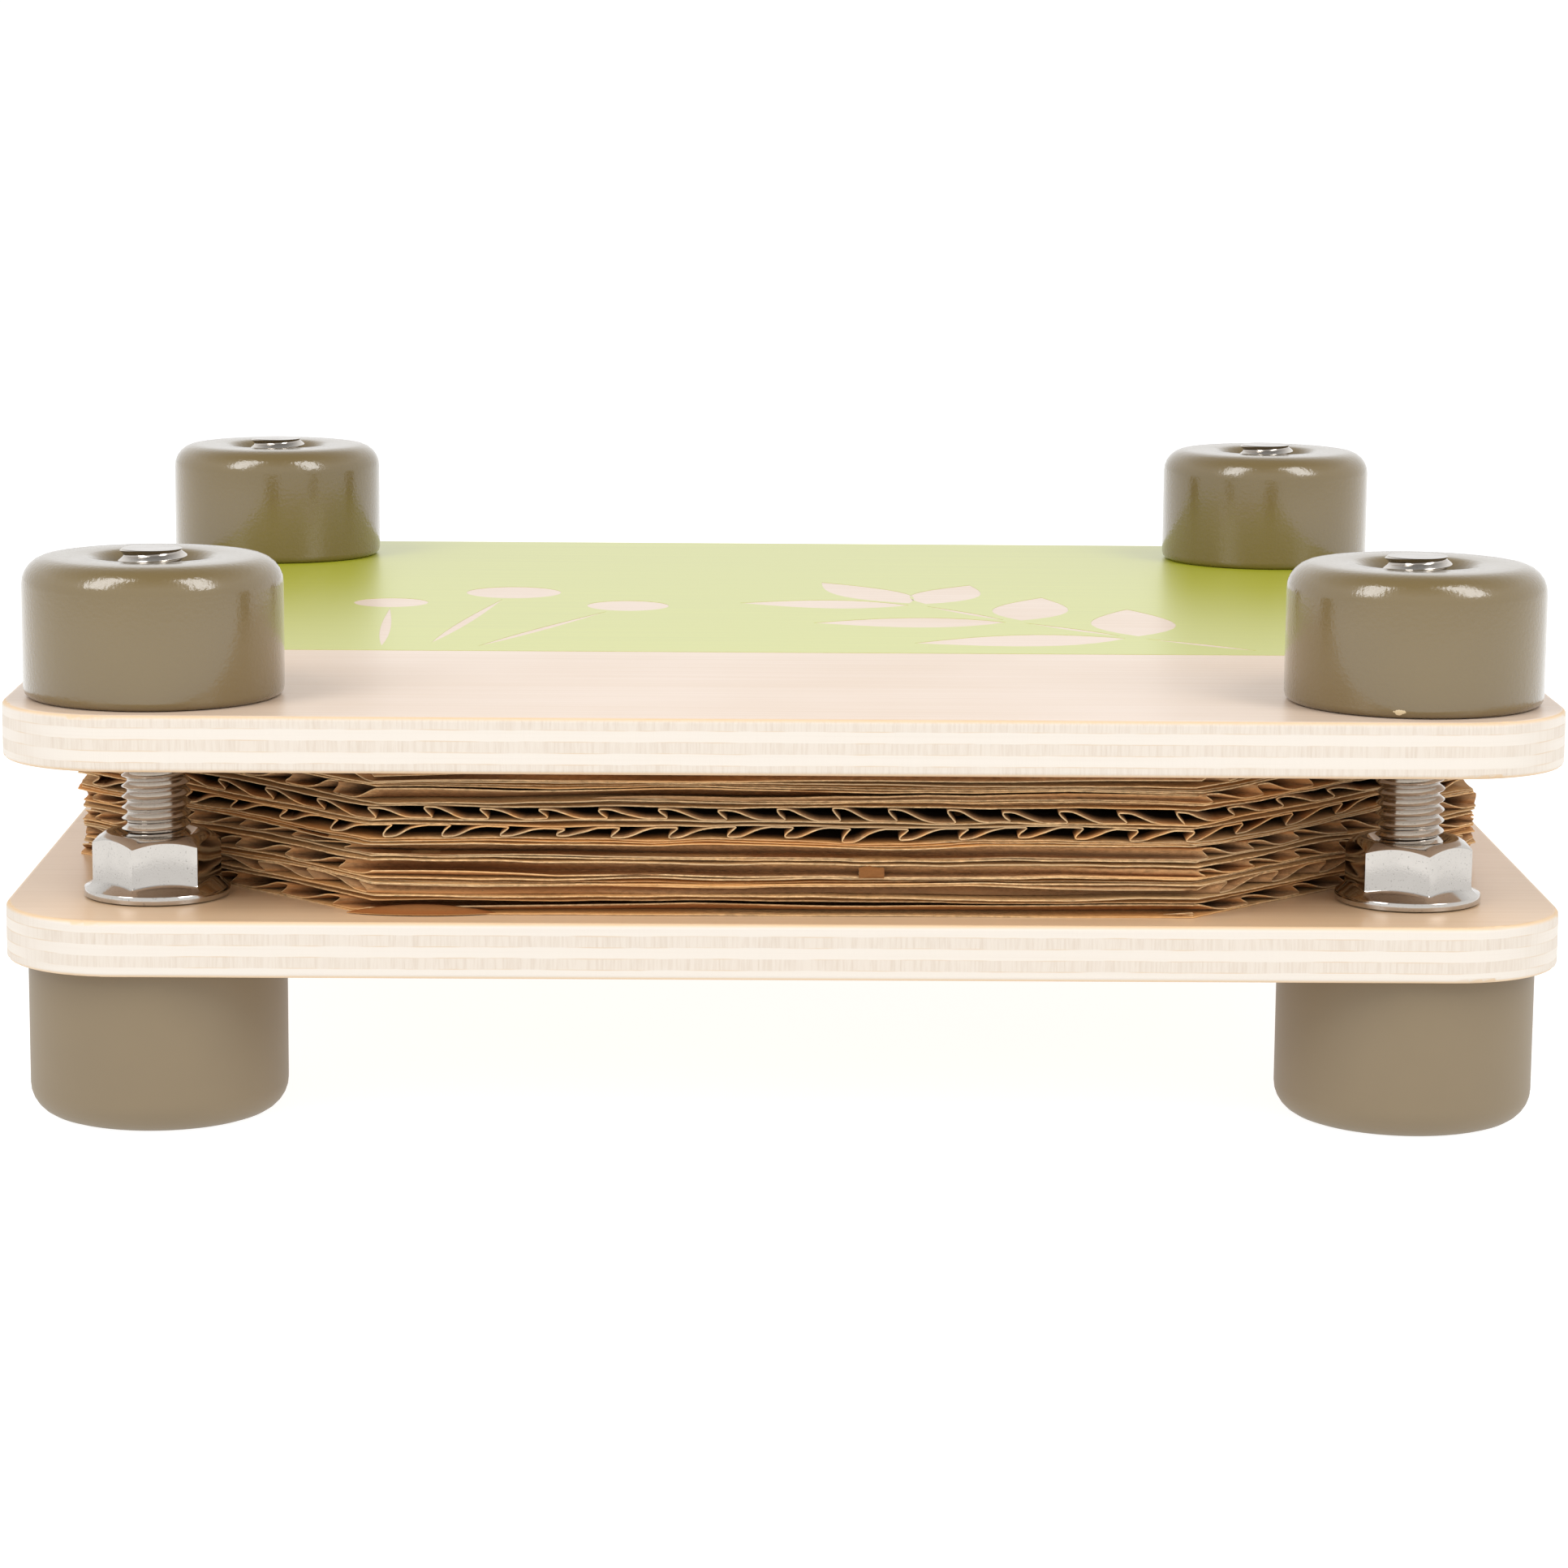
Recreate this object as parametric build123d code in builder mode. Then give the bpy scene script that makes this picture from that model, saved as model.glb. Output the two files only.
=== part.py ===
"""Flower press: two plywood boards drawn together by four turned knobs on upright bolts, on turned feet,
with corrugated cards and paper sheets between the boards.

Millimetres, +Z up, +X to the right, -Y to the front. The origin is on the surface that the feet stand on,
under the middle of the boards."""

import os
from math import cos, hypot, pi, radians, sqrt, tan

from build123d import *

# Boards
BOARD_WIDTH = 180.0
BOARD_DEPTH = 180.0
BOARD_THICKNESS = 6.5
BOARD_CORNER_RADIUS = 14.0
BOARD_ARRIS_RADIUS = 0.6
BOLT_INSET = 17.0  # board edge to bolt axis

# Feet, turned from wood, with a counterbore below for the bolt head
FOOT_DIAMETER = 30.0
FOOT_HEIGHT = 19.0
FOOT_BOTTOM_ROUND = 3.6
FOOT_TOP_ROUND = 0.4
FOOT_RING = 1.6  # least flat ring left round the counterbore

# Bolts, fully threaded, with the hexagon head at the bottom
BOLT_DIAMETER = 8.0
THREAD_PITCH = 1.25
THREAD_DEPTH_SHARE = 0.6134  # depth of a metric thread over its pitch
ROOT_FLAT_SHARE = 0.167  # flat at the bottom of the thread over the pitch
CREST_FLAT_SHARE = 0.125  # flat at the top of the thread over the pitch
HEAD_ACROSS_FLATS = 13.0
HEAD_HEIGHT = 5.3
HEAD_RECESS = 0.7  # underside of the foot to the bolt head
SOCKET_CLEARANCE = 1.0  # radial room for a spanner socket round the head
BOLT_PROUD = 0.8  # bolt end above the closed knob

# Hexagons of the bolt heads and the nuts
HEX_SIDES = 6
HEX_CHAMFER_SHARE = 0.95  # chamfer circle over the width across flats
HEX_CHAMFER_ANGLE = 30.0

# Flange nuts that clamp the lower board to the feet
NUT_ACROSS_FLATS = 13.0
NUT_HEIGHT = 7.5
FLANGE_LIP = 1.0  # flange rim outside the hexagon's corners
FLANGE_RIM_HEIGHT = 1.1
FLANGE_CONE_HEIGHT = 1.1
NUT_TURN = {"front_left": 15.0, "front_right": -20.0, "back_left": 7.0, "back_right": -11.0}

# Knobs, turned from wood, with a threaded metal insert pressed in from below
KNOB_DIAMETER = 30.0
KNOB_HEIGHT = 16.2
KNOB_TOP_ROUND = 3.2
KNOB_BOTTOM_ROUND = 1.0
KNOB_RING = 2.0  # least flat ring left round the dish
DISH_DIAMETER = 13.2
DISH_DEPTH = 2.2
DISH_BULGE = 0.5  # how far the dish wall is hollowed below a straight cone
DISH_RIM_ROUND = 0.8
KNOB_CAP = 2.0  # wood left between the insert and the dish
INSERT_WALL = 1.5
INSERT_CHAMFER = 0.4

# Pack of corrugated cards with paper sheets between them, lowest first
CARD_COUNT = 8
CARDS_OPEN_TO_FRONT = (5, 6)  # their flutes run from front to back, the others from side to side
CARD_THICKNESS = 1.775
LINER_THICKNESS = 0.25
MEDIUM_THICKNESS = 0.2
FLUTE_PITCH = 6.5
FLANK_SHARE = 0.34  # run of a flute's slope over the pitch
FLUTE_EDGE = 0.3  # least paper left outside the last flute
PAPERS_PER_GAP = 2
PAPER_THICKNESS = 0.2
SHEET_INSET = 5.0  # board edge to sheet edge
SHEET_BOLT_GAP = 1.4  # flange rim to the sheets' cut corners

# Clearances, all radial
FIXED_HOLE_CLEARANCE = 0.3
SLIDING_HOLE_CLEARANCE = 0.5
THREAD_CLEARANCE = 0.06

# Radii that several pieces share
bolt_radius = BOLT_DIAMETER / 2
root_radius = bolt_radius - THREAD_DEPTH_SHARE * THREAD_PITCH
fixed_hole_radius = bolt_radius + FIXED_HOLE_CLEARANCE
sliding_hole_radius = bolt_radius + SLIDING_HOLE_CLEARANCE
thread_hole_radius = bolt_radius + THREAD_CLEARANCE
insert_radius = thread_hole_radius + INSERT_WALL
head_corner_radius = HEAD_ACROSS_FLATS / 2 / cos(pi / HEX_SIDES)
nut_corner_radius = NUT_ACROSS_FLATS / 2 / cos(pi / HEX_SIDES)
chamfer_slope = tan(radians(HEX_CHAMFER_ANGLE))
flange_radius = nut_corner_radius + FLANGE_LIP
counterbore_radius = head_corner_radius + SOCKET_CLEARANCE

# Heights, from the feet up
pack_height = CARD_COUNT * CARD_THICKNESS + (CARD_COUNT - 1) * PAPERS_PER_GAP * PAPER_THICKNESS
base_bottom = FOOT_HEIGHT
base_top = base_bottom + BOARD_THICKNESS
press_bottom = base_top + pack_height
press_top = press_bottom + BOARD_THICKNESS
knob_top = press_top + KNOB_HEIGHT
head_seat = HEAD_RECESS + HEAD_HEIGHT
bolt_length = knob_top + BOLT_PROUD - head_seat
insert_length = KNOB_HEIGHT - DISH_DEPTH - KNOB_CAP

# Bolt places
bolt_x = BOARD_WIDTH / 2 - BOLT_INSET
bolt_y = BOARD_DEPTH / 2 - BOLT_INSET
CORNERS = {
    "front_left": (-bolt_x, -bolt_y),
    "front_right": (bolt_x, -bolt_y),
    "back_left": (-bolt_x, bolt_y),
    "back_right": (bolt_x, bolt_y),
}

# Outline of the sheets: a rectangle whose corners are cut to pass the flange nuts
sheet_x = BOARD_WIDTH / 2 - SHEET_INSET
sheet_y = BOARD_DEPTH / 2 - SHEET_INSET
corner_cut = sheet_x + sheet_y - (bolt_x + bolt_y - sqrt(2) * (flange_radius + SHEET_BOLT_GAP))
sheet_corners = (
    (-sheet_x, -sheet_y + corner_cut),
    (-sheet_x + corner_cut, -sheet_y),
    (sheet_x - corner_cut, -sheet_y),
    (sheet_x, -sheet_y + corner_cut),
    (sheet_x, sheet_y - corner_cut),
    (sheet_x - corner_cut, sheet_y),
    (-sheet_x + corner_cut, sheet_y),
    (-sheet_x, sheet_y - corner_cut),
)


def write(builder, name):
    """Labels a finished piece and writes its STEP file."""
    builder.part.label = name
    export_step(builder.part, f"parts/{name}.step")


def upright(x, y, z):
    """A vertical sketch plane whose Y axis is the vertical line through (x, y), with its origin at z."""
    return Plane(origin=(x, y, z), x_dir=(1, 0, 0), z_dir=(0, -1, 0))


def vertical(x, y):
    """The vertical axis through (x, y)."""
    return Axis((x, y, 0), (0, 0, 1))


def make_board(name, bottom, hole_radius):
    """A plywood board with rounded corners, eased edges and a hole at each bolt."""
    with BuildPart() as board:
        with BuildSketch(Plane.XY.offset(bottom)):
            RectangleRounded(BOARD_WIDTH, BOARD_DEPTH, BOARD_CORNER_RADIUS)
        extrude(amount=BOARD_THICKNESS)
        rims = board.edges().group_by(Axis.Z)
        fillet(rims[0] + rims[-1], BOARD_ARRIS_RADIUS)
        with BuildSketch(Plane.XY.offset(bottom)):
            with GridLocations(2 * bolt_x, 2 * bolt_y, 2, 2):
                Circle(hole_radius)
        extrude(amount=BOARD_THICKNESS, mode=Mode.SUBTRACT)
    write(board, name)


def make_foot(name, x, y):
    """A turned foot, rounded below, with a bolt hole and a counterbore for the bolt head."""
    bottom_round = min(FOOT_BOTTOM_ROUND, FOOT_DIAMETER / 2 - counterbore_radius - FOOT_RING)
    with BuildPart(Plane((x, y, 0))) as foot:
        Cylinder(FOOT_DIAMETER / 2, FOOT_HEIGHT, align=(Align.CENTER, Align.CENTER, Align.MIN))
        fillet(foot.edges().filter_by(GeomType.CIRCLE).sort_by(Axis.Z)[0], bottom_round)
        fillet(foot.edges().filter_by(GeomType.CIRCLE).sort_by(Axis.Z)[-1], FOOT_TOP_ROUND)
        with BuildSketch(Plane((x, y, 0))):
            Circle(fixed_hole_radius)
        extrude(amount=FOOT_HEIGHT, mode=Mode.SUBTRACT)
        with BuildSketch(Plane((x, y, 0))):
            Circle(counterbore_radius)
        extrude(amount=head_seat, mode=Mode.SUBTRACT)
    write(foot, name)


def thread_outline(length):
    """Half section of a threaded shank: each pitch has a root flat, a flank, a crest flat and a flank."""
    root_flat = ROOT_FLAT_SHARE * THREAD_PITCH
    crest_flat = CREST_FLAT_SHARE * THREAD_PITCH
    flank = (THREAD_PITCH - root_flat - crest_flat) / 2
    turns = int(length / THREAD_PITCH)
    runout = length - turns * THREAD_PITCH
    points = [(0, 0), (root_radius, 0)]
    for turn in range(turns):
        start = runout + turn * THREAD_PITCH
        points += [
            (root_radius, start + root_flat),
            (bolt_radius, start + root_flat + flank),
            (bolt_radius, start + root_flat + flank + crest_flat),
            (root_radius, start + THREAD_PITCH),
        ]
    return points + [(0, length)]


def make_bolt(name, x, y):
    """A hexagon bolt, head down, threaded from the head to the end."""
    chamfer_radius = HEX_CHAMFER_SHARE * HEAD_ACROSS_FLATS / 2
    chamfer_drop = (head_corner_radius - chamfer_radius) * chamfer_slope
    with BuildPart() as bolt:
        with BuildSketch(Plane((x, y, HEAD_RECESS))):
            RegularPolygon(HEAD_ACROSS_FLATS / 2, HEX_SIDES, major_radius=False)
        extrude(amount=HEAD_HEIGHT)
        with BuildSketch(upright(x, y, HEAD_RECESS)):
            with BuildLine():
                Polyline(
                    (0, 0),
                    (chamfer_radius, 0),
                    (head_corner_radius, chamfer_drop),
                    (head_corner_radius, HEAD_HEIGHT),
                    (0, HEAD_HEIGHT),
                    close=True,
                )
            make_face()
        revolve(axis=vertical(x, y), mode=Mode.INTERSECT)
        with BuildSketch(upright(x, y, head_seat)):
            with BuildLine():
                Polyline(*thread_outline(bolt_length), close=True)
            make_face()
        revolve(axis=vertical(x, y))
    write(bolt, name)


def make_flange_nut(name, x, y, turn):
    """A hexagon nut with a conical flange, chamfered above, with a countersunk thread hole."""
    chamfer_radius = HEX_CHAMFER_SHARE * NUT_ACROSS_FLATS / 2
    chamfer_drop = (nut_corner_radius - chamfer_radius) * chamfer_slope
    cone_foot = nut_corner_radius - FLANGE_LIP
    sink = bolt_radius - root_radius
    with BuildPart() as nut:
        with BuildSketch(Plane((x, y, base_top))):
            RegularPolygon(NUT_ACROSS_FLATS / 2, HEX_SIDES, major_radius=False, rotation=turn)
        extrude(amount=NUT_HEIGHT)
        with BuildSketch(upright(x, y, base_top)):
            with BuildLine():
                Polyline(
                    (0, 0),
                    (nut_corner_radius, 0),
                    (nut_corner_radius, NUT_HEIGHT - chamfer_drop),
                    (chamfer_radius, NUT_HEIGHT),
                    (0, NUT_HEIGHT),
                    close=True,
                )
            make_face()
        revolve(axis=vertical(x, y), mode=Mode.INTERSECT)
        with BuildSketch(upright(x, y, base_top)):
            with BuildLine():
                Polyline(
                    (0, 0),
                    (flange_radius, 0),
                    (flange_radius, FLANGE_RIM_HEIGHT),
                    (cone_foot, FLANGE_RIM_HEIGHT + FLANGE_CONE_HEIGHT),
                    (0, FLANGE_RIM_HEIGHT + FLANGE_CONE_HEIGHT),
                    close=True,
                )
            make_face()
        revolve(axis=vertical(x, y))
        with BuildSketch(upright(x, y, base_top)):
            with BuildLine():
                Polyline(
                    (0, 0),
                    (thread_hole_radius, 0),
                    (thread_hole_radius, NUT_HEIGHT - sink),
                    (thread_hole_radius + sink, NUT_HEIGHT),
                    (0, NUT_HEIGHT),
                    close=True,
                )
            make_face()
        revolve(axis=vertical(x, y), mode=Mode.SUBTRACT)
    write(nut, name)


def make_knob(name, x, y):
    """A turned knob, rounded above, with a dish round the bolt end and a seat for the insert below."""
    radius = KNOB_DIAMETER / 2
    dish_radius = DISH_DIAMETER / 2
    dish_floor = KNOB_HEIGHT - DISH_DEPTH
    top_round = min(KNOB_TOP_ROUND, radius - dish_radius - KNOB_RING)
    dish_run = dish_radius - fixed_hole_radius
    dish_slope = hypot(dish_run, DISH_DEPTH)
    dish_middle = (
        fixed_hole_radius + dish_run / 2 + DISH_BULGE * DISH_DEPTH / dish_slope,
        dish_floor + DISH_DEPTH / 2 - DISH_BULGE * dish_run / dish_slope,
    )
    with BuildPart() as knob:
        with BuildSketch(upright(x, y, press_top)):
            with BuildLine():
                Polyline(
                    (dish_radius, KNOB_HEIGHT),
                    (radius, KNOB_HEIGHT),
                    (radius, 0),
                    (insert_radius, 0),
                    (insert_radius, insert_length),
                    (fixed_hole_radius, insert_length),
                    (fixed_hole_radius, dish_floor),
                )
                ThreePointArc((fixed_hole_radius, dish_floor), dish_middle, (dish_radius, KNOB_HEIGHT))
            make_face()
        revolve(axis=vertical(x, y))
        top_rims = knob.edges().filter_by(GeomType.CIRCLE).group_by(Axis.Z)[-1].sort_by(SortBy.RADIUS)
        fillet(top_rims[-1], top_round)
        top_rims = knob.edges().filter_by(GeomType.CIRCLE).group_by(Axis.Z)[-1].sort_by(SortBy.RADIUS)
        fillet(top_rims[0], DISH_RIM_ROUND)
        bottom_rims = knob.edges().filter_by(GeomType.CIRCLE).group_by(Axis.Z)[0].sort_by(SortBy.RADIUS)
        fillet(bottom_rims[-1], KNOB_BOTTOM_ROUND)
    write(knob, name)


def make_insert(name, x, y):
    """A threaded metal sleeve, pressed into the underside of a knob."""
    with BuildPart(Plane((x, y, press_top))) as insert:
        Cylinder(insert_radius, insert_length, align=(Align.CENTER, Align.CENTER, Align.MIN))
        chamfer(insert.edges().filter_by(GeomType.CIRCLE), INSERT_CHAMFER)
        with BuildSketch(Plane((x, y, press_top))):
            Circle(thread_hole_radius)
        extrude(amount=insert_length, mode=Mode.SUBTRACT)
    write(insert, name)


def make_card(name, bottom, open_to_front):
    """A corrugated card: two liners with a fluted medium between them, as one glued sheet."""
    across = 2 * (sheet_x if open_to_front else sheet_y)
    along = sheet_y if open_to_front else sheet_x
    flute_height = CARD_THICKNESS - 2 * LINER_THICKNESS
    flank = FLANK_SHARE * FLUTE_PITCH
    slant = MEDIUM_THICKNESS * hypot(flank, flute_height) / flute_height
    wide = FLUTE_PITCH / 4 - slant / 2 + flank / 2
    narrow = wide - flank * (flute_height - MEDIUM_THICKNESS) / flute_height
    flutes = int((across - 2 * FLUTE_EDGE + slant) / FLUTE_PITCH)
    section_plane = Plane(
        origin=(0, 0, bottom),
        x_dir=(1, 0, 0) if open_to_front else (0, 1, 0),
        z_dir=(0, -1, 0) if open_to_front else (1, 0, 0),
    )
    low = LINER_THICKNESS
    high = CARD_THICKNESS - LINER_THICKNESS
    with BuildPart() as card:
        with BuildSketch(section_plane):
            with Locations((0, CARD_THICKNESS / 2)):
                Rectangle(across, CARD_THICKNESS)
            with GridLocations(FLUTE_PITCH, 0, flutes, 1):
                with Locations((-FLUTE_PITCH / 4, 0)):
                    Polygon(
                        (-wide, low),
                        (wide, low),
                        (narrow, high - MEDIUM_THICKNESS),
                        (-narrow, high - MEDIUM_THICKNESS),
                        align=None,
                        mode=Mode.SUBTRACT,
                    )
                with Locations((FLUTE_PITCH / 4, 0)):
                    Polygon(
                        (-narrow, low + MEDIUM_THICKNESS),
                        (narrow, low + MEDIUM_THICKNESS),
                        (wide, high),
                        (-wide, high),
                        align=None,
                        mode=Mode.SUBTRACT,
                    )
        extrude(amount=along, both=True)
        with BuildSketch(Plane.XY.offset(bottom)):
            Polygon(*sheet_corners, align=None)
        extrude(amount=CARD_THICKNESS, mode=Mode.INTERSECT)
    write(card, name)


def make_paper(name, bottom):
    """A plain sheet of absorbent paper with the same outline as the cards."""
    with BuildPart() as paper:
        with BuildSketch(Plane.XY.offset(bottom)):
            Polygon(*sheet_corners, align=None)
        extrude(amount=PAPER_THICKNESS)
    write(paper, name)


def make_pack():
    """Stacks the cards on the lower board, with paper sheets in each gap between two cards."""
    height = base_top
    paper_number = 0
    for card_number in range(1, CARD_COUNT + 1):
        make_card(f"card_{card_number}", height, card_number in CARDS_OPEN_TO_FRONT)
        height += CARD_THICKNESS
        if card_number == CARD_COUNT:
            break
        for _ in range(PAPERS_PER_GAP):
            paper_number += 1
            make_paper(f"paper_sheet_{paper_number:02d}", height)
            height += PAPER_THICKNESS


os.makedirs("parts", exist_ok=True)
make_board("base_board", base_bottom, fixed_hole_radius)
make_board("top_board", press_bottom, sliding_hole_radius)
for corner, (corner_x, corner_y) in CORNERS.items():
    make_foot(f"foot_{corner}", corner_x, corner_y)
    make_bolt(f"bolt_{corner}", corner_x, corner_y)
    make_flange_nut(f"flange_nut_{corner}", corner_x, corner_y, NUT_TURN[corner])
    make_knob(f"knob_{corner}", corner_x, corner_y)
    make_insert(f"knob_insert_{corner}", corner_x, corner_y)
make_pack()
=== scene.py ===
"""Looks of a flower press: plywood boards, painted knobs and feet, plated fasteners, cards and paper."""

import random
from math import atan2, cos, hypot, pi, radians, sin, sqrt, tan

import bmesh
import bpy
from mathutils import Matrix, Vector, geometry, noise


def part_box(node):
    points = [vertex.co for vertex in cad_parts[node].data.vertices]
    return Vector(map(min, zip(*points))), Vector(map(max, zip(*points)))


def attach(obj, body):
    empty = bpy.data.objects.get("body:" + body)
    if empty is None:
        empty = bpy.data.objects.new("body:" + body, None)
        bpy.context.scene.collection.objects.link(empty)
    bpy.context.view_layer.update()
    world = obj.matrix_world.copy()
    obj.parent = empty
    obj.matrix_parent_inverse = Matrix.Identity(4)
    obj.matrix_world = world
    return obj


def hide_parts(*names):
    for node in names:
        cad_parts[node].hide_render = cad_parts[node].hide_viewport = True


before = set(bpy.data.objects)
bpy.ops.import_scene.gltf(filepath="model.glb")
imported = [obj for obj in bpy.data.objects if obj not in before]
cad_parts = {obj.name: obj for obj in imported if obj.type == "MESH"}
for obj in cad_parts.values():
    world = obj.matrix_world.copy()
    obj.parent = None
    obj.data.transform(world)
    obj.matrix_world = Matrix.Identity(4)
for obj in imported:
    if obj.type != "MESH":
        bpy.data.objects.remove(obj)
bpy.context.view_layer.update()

bl_info = {
    "name": "Flower press",
    "version": (1, 0, 0),
    "blender": (4, 5, 0),
    "location": "3D View > Sidebar > Flower press",
    "description": "Builds the visible pieces of a flower press round its packed frame",
    "category": "Object",
}

MM = 0.001
CORNERS = ("front_left", "front_right", "back_left", "back_right")
CARDS = [f"card_{number}" for number in range(1, 9)]
PAPERS = [f"paper_sheet_{number:02d}" for number in range(1, 15)]
CARDS_OPEN_TO_FRONT = {"card_5", "card_6"}
CARDS_FLIPPED = {"card_2", "card_5", "card_8"}

MIX_A, MIX_B, MIX_RESULT = 6, 7, 2  # colour sockets of a Mix node

# Lengths and places in millimetres.
ROD_RADIUS = 4.0
ROD_HOLE_RADIUS = 4.3
INSERT_CLEARANCE = 0.02
KNOB_FOOT_ROUND = 1.0
KNOB_TOP_ROUND = 3.2
DISH_RADIUS = 6.7
DISH_RIM_ROUND = 1.0
DISH_FLOOR_RADIUS = 5.9
DISH_FLOOR_ROUND = 0.7
DISH_WALL_DEPTH = 1.5
DISH_DEPTH = 2.2
FOOT_TOP_ROUND = 0.4
FOOT_BOTTOM_ROUND = 3.6
COUNTERBORE_RADIUS = 8.506
COUNTERBORE_DEPTH = 6.0
COUNTERBORE_ROUND = 0.3
THREAD_START = 5.0  # hidden inside the bolt's head
HEAD_HEIGHT = 5.3
NUT_ACROSS = 13.0
SHEET_CUT = 38.0  # cut from a sheet's sides at each corner
LINER_THICKNESS = 0.16
PAPER_THICKNESS = 0.12
PRINT_CORNER_RADIUS = 13.4
BARE_DISC_RADIUS = 14.2  # left bare round the back bolts
CHIP = (69.2, -87.5, 49.8)  # chip in the paint, low on the front right knob

CIRCLE_HANDLE = 0.5523  # curve handle that makes a quarter circle, as a share of the radius
HEXAGON_CORNER = 0.576  # distance of a slightly blunt corner from the middle, as a share of the width
THREAD_DEPTH = 0.54  # as a share of the pitch
NUT_TURNS = (15.0, -20.0, 7.0, -11.0)  # in degrees, in the order of the corners
TURNED_STEPS = 112

# The studio, in metres.
FLOOR_HALF_WIDTH = 6.0
SOFT_BOX_SIZE = (0.33, 0.72)
SOFT_BOX_PLACE = (0.53, -0.48, 0.7)  # of the right one
SOFT_BOX_AIM = (0.0, 0.0, 0.05)


def linear(colour):
    """An sRGB hex colour as linear red, green, blue and alpha."""
    channels = [int(colour[at : at + 2], 16) / 255 for at in (1, 3, 5)]
    return [c / 12.92 if c <= 0.04045 else ((c + 0.055) / 1.055) ** 2.4 for c in channels] + [1.0]


def colour_property(name, colour, description):
    """A colour setting, from an sRGB hex colour."""
    return bpy.props.FloatVectorProperty(
        name=name, description=description, subtype="COLOR", size=4, min=0, max=1, default=linear(colour)
    )


def length_property(name, millimetres, description):
    """A length setting, from millimetres."""
    return bpy.props.FloatProperty(
        name=name, description=description, unit="LENGTH", min=0, precision=5, default=millimetres * MM
    )


def share_property(name, share, description):
    """A setting between none and all."""
    return bpy.props.FloatProperty(
        name=name, description=description, subtype="FACTOR", min=0, max=1, default=share
    )


def light_property(name, light, description, subtype="NONE"):
    """A setting for an amount of light."""
    return bpy.props.FloatProperty(
        name=name, description=description, subtype=subtype, min=0, default=light
    )


class PressWoodSettings(bpy.types.PropertyGroup):
    """Birch plywood boards"""

    top_face: colour_property("Top face", "#d9c5b4", "Face veneer of the top board")
    # Painted light and shade: a copy of the veneer colour, toned apart from the top face for the light the
    # base board gets under the top board.
    base_face_toned_for_light: colour_property("Base face", "#d2b798", "Face veneer of the base board")
    long_grain: colour_property("Long grain", "#d1c9bf", "Edge of a ply that shows its length")
    end_grain: colour_property("End grain", "#ccc2b6", "Edge of a ply that shows its fibre ends")
    glue: colour_property("Glue line", "#c6b198", "Thin line between two plies")
    tick: colour_property("Tick", "#bfb1a2", "Darker fibre ends")
    arris: colour_property("Arris", "#d6b68c", "Rounded edge between face and ply edges")
    plies: bpy.props.IntProperty(name="Plies", description="Number of plies", min=3, default=5)
    grain_width: length_property("Grain width", 0.9, "Width of a streak of the face grain")
    tick_width: length_property("Tick width", 0.28, "Spacing of the fibre ends in an end-grain ply")


class PressPrintSettings(bpy.types.PropertyGroup):
    """Printed field on the top board"""

    ink: colour_property("Ink", "#b7bb2c", "Printed field")
    front: length_property("Bare strip", 56.0, "Bare wood in front of the print")
    margin: length_property("Margin", 0.7, "Print to the board's edge")
    thickness: length_property("Thickness", 0.03, "Film of ink")


class PressPaintSettings(bpy.types.PropertyGroup):
    """Painted knobs and feet"""

    knob: colour_property("Knobs", "#695835", "Paint of the knobs")
    foot: colour_property("Feet", "#74644a", "Paint of the feet")
    knob_roughness: share_property("Knob roughness", 0.2, "Gloss of the knobs")
    foot_roughness: share_property("Foot roughness", 0.48, "Satin of the feet")
    peel: length_property("Orange peel", 0.45, "Size of the ripples in the sprayed paint")
    chip: colour_property("Chip", "#cbb893", "Bare wood where the paint is chipped")


class PressMetalSettings(bpy.types.PropertyGroup):
    """Bolts, nuts and inserts"""

    nickel: colour_property("Nickel", "#c9c4be", "Plating of the flange nuts")
    steel: colour_property("Steel", "#dcd6ce", "Rolled thread of the bolts")
    # Part grime, part painted shade: a dark warm colour in the thread's grooves that also stands in for the
    # shade the flanks mirror.
    grime_and_shade: colour_property("Grime", "#5c4734", "Oil and dust in the grooves of the thread")
    brass: colour_property("Brass", "#c9a968", "Inserts in the knobs")
    pitch: length_property("Pitch", 1.25, "Thread pitch")


class PressPackSettings(bpy.types.PropertyGroup):
    """Corrugated cards and paper sheets"""

    liner: colour_property("Liner", "#b08656", "Flat liners of the cards")
    medium: colour_property("Medium", "#aa8056", "Fluted paper inside the cards")
    paper: colour_property("Paper", "#b8844c", "Loose sheets")
    loose: colour_property("Loose liner", "#7e5027", "Warmer liner that has come loose in places")
    cut: colour_property("Cut edge", "#cbaa7e", "Torn fibres on cut edges")
    # Painted shade: the near-black brown that the flutes darken to behind the cut edge, where no light
    # reaches.
    painted_flute_shade: colour_property("Hollow", "#1d130b", "Depth of the flutes, which no light reaches")
    flute: length_property("Flute pitch", 6.5, "Distance from flute to flute")
    fray: length_property("Fray", 0.3, "How far the cut edges wander")
    wave: length_property("Wave", 0.6, "How far the sheets' edges rise and fall")
    seed: bpy.props.IntProperty(name="Seed", description="Seed of the irregular edges", default=11)


class PressStageSettings(bpy.types.PropertyGroup):
    """Floor, lights and camera"""

    floor: colour_property("Floor", "#989897", "Light table's own colour")
    glow: light_property("Glow", 0.92, "Light from the table itself")
    horizon: light_property("Horizon", 1.06, "Light of the white walls")
    zenith: light_property("Zenith", 0.3, "Light of the ceiling")
    boxes: light_property("Soft boxes", 4.5, "Power of each soft box", "POWER")
    eye: bpy.props.FloatVectorProperty(
        name="Eye", description="Place of the camera", subtype="TRANSLATION", unit="LENGTH",
        default=(-0.0077, -0.58519, 0.12344),
    )
    turn: bpy.props.FloatVectorProperty(
        name="Turn", description="Pitch, roll and yaw of the camera", subtype="EULER", unit="ROTATION",
        default=(radians(80.622), radians(0.451), radians(-0.854)),
    )
    lens: bpy.props.FloatProperty(name="Lens", description="Focal length", unit="CAMERA", default=102.46)


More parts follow.
